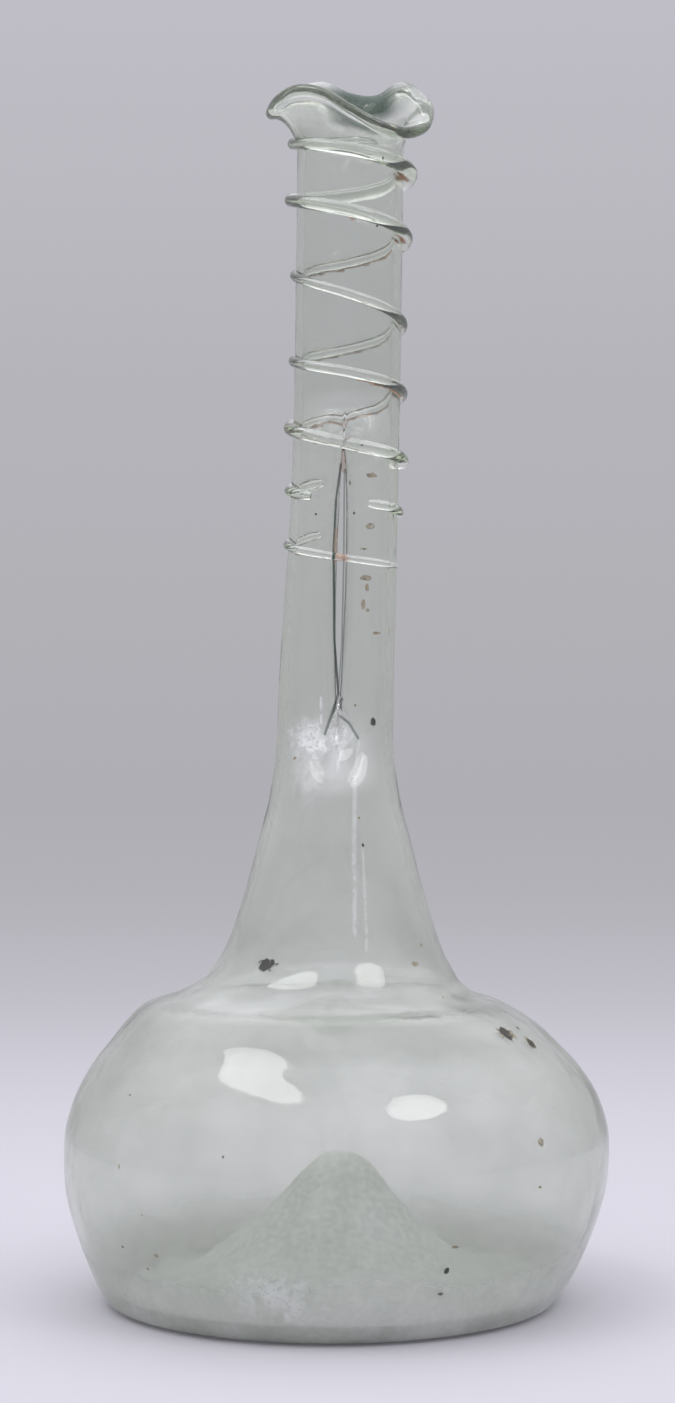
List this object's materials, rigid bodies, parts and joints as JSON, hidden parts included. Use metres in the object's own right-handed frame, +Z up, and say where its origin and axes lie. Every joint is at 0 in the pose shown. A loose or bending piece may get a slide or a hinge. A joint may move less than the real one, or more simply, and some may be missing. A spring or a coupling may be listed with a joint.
{
  "type": "glass bottle",
  "caption": "Free-blown glass bottle with a pushed-in base, squat body, long neck partly divided into side-by-side tubes, wavy out-turned lip and a fused spiral trail.",
  "frame": {"origin": "centre of the bottle's box, on the surface that it stands on", "axes": "+Z up along the neck, +X to the viewer's right, -Y towards the viewer; the neck's tubes lie side by side along X"},
  "size_m": [0.1361, 0.136, 0.307],
  "materials": {
    "glass": "clear pale green glass, weathered to a thin milky film with brown deposits beside the trail"
  },
  "bodies": {
    "root": {"bottle": "glass"}
  },
  "joints": []
}
